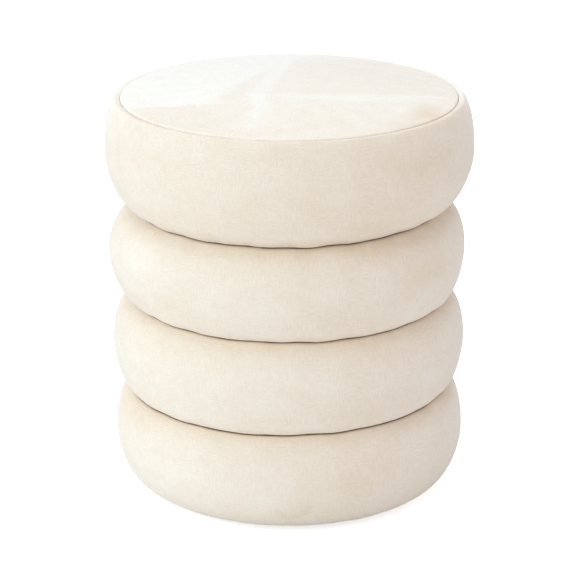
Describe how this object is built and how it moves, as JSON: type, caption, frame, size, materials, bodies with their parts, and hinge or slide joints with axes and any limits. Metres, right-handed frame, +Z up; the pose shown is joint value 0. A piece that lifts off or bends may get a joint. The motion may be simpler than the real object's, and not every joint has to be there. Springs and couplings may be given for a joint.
{
  "type": "tiered velvet floor pouf",
  "caption": "Round upholstered velvet floor pouf of stacked bulging padded tiers drawn in by creases, with a flat sewn seat panel on top and low glides under a stapled base.",
  "frame": {"origin": "centre of the base on the floor plane, under the seat's middle", "axes": "+Z up through the middle of the seat; +X and +Y each run through a glide, and the pouf is round, so it has no front"},
  "size_m": [0.36, 0.36, 0.405],
  "materials": {
    "velvet": "ivory short-pile velvet with a soft sheen, its nap brushed in patches",
    "thread": "twisted sewing thread, satin",
    "cord": "braided cord, matt",
    "wadding": "soft polyester wadding, matt",
    "foam": "cut polyurethane foam, fine open cells",
    "plywood": "bare birch plywood, sanded",
    "pine": "bare planed pine",
    "hardboard": "bent hardboard, smooth brown face",
    "dust_cover_cloth": "black spunbonded cloth with small embossed dots",
    "glide_plastic": "moulded black plastic, scuffed underneath",
    "screw_steel": "yellow-zinc plated steel",
    "staple_steel": "galvanised steel wire"
  },
  "bodies": {
    "root": {"seat_panel": "velvet", "seat_seam_thread": "thread", "seat_band": "velvet", "second_band": "velvet", "third_band": "velvet", "bottom_band": "velvet", "upper_crease_cord": "cord", "middle_crease_cord": "cord", "lower_crease_cord": "cord", "seat_wadding": "wadding", "seat_foam": "foam", "second_foam_ring": "foam", "third_foam_ring": "foam", "bottom_foam_ring": "foam", "seat_board": "plywood", "base_board": "plywood", "core_wrap": "hardboard", "post_1": "pine", "post_2": "pine", "post_3": "pine", "post_4": "pine", "seat_board_screw_1": "screw_steel", "seat_board_screw_2": "screw_steel", "seat_board_screw_3": "screw_steel", "seat_board_screw_4": "screw_steel", "base_board_screw_1": "screw_steel", "base_board_screw_2": "screw_steel", "base_board_screw_3": "screw_steel", "base_board_screw_4": "screw_steel", "dust_cover": "dust_cover_cloth", "base_staple_1": "staple_steel", "base_staple_2": "staple_steel", "base_staple_3": "staple_steel", "base_staple_4": "staple_steel", "base_staple_5": "staple_steel", "base_staple_6": "staple_steel", "base_staple_7": "staple_steel", "base_staple_8": "staple_steel", "base_staple_9": "staple_steel", "base_staple_10": "staple_steel", "base_staple_11": "staple_steel", "base_staple_12": "staple_steel", "glide_1": "glide_plastic", "glide_2": "glide_plastic", "glide_3": "glide_plastic", "glide_4": "glide_plastic", "glide_screw_1": "screw_steel", "glide_screw_2": "screw_steel", "glide_screw_3": "screw_steel", "glide_screw_4": "screw_steel"}
  },
  "joints": []
}
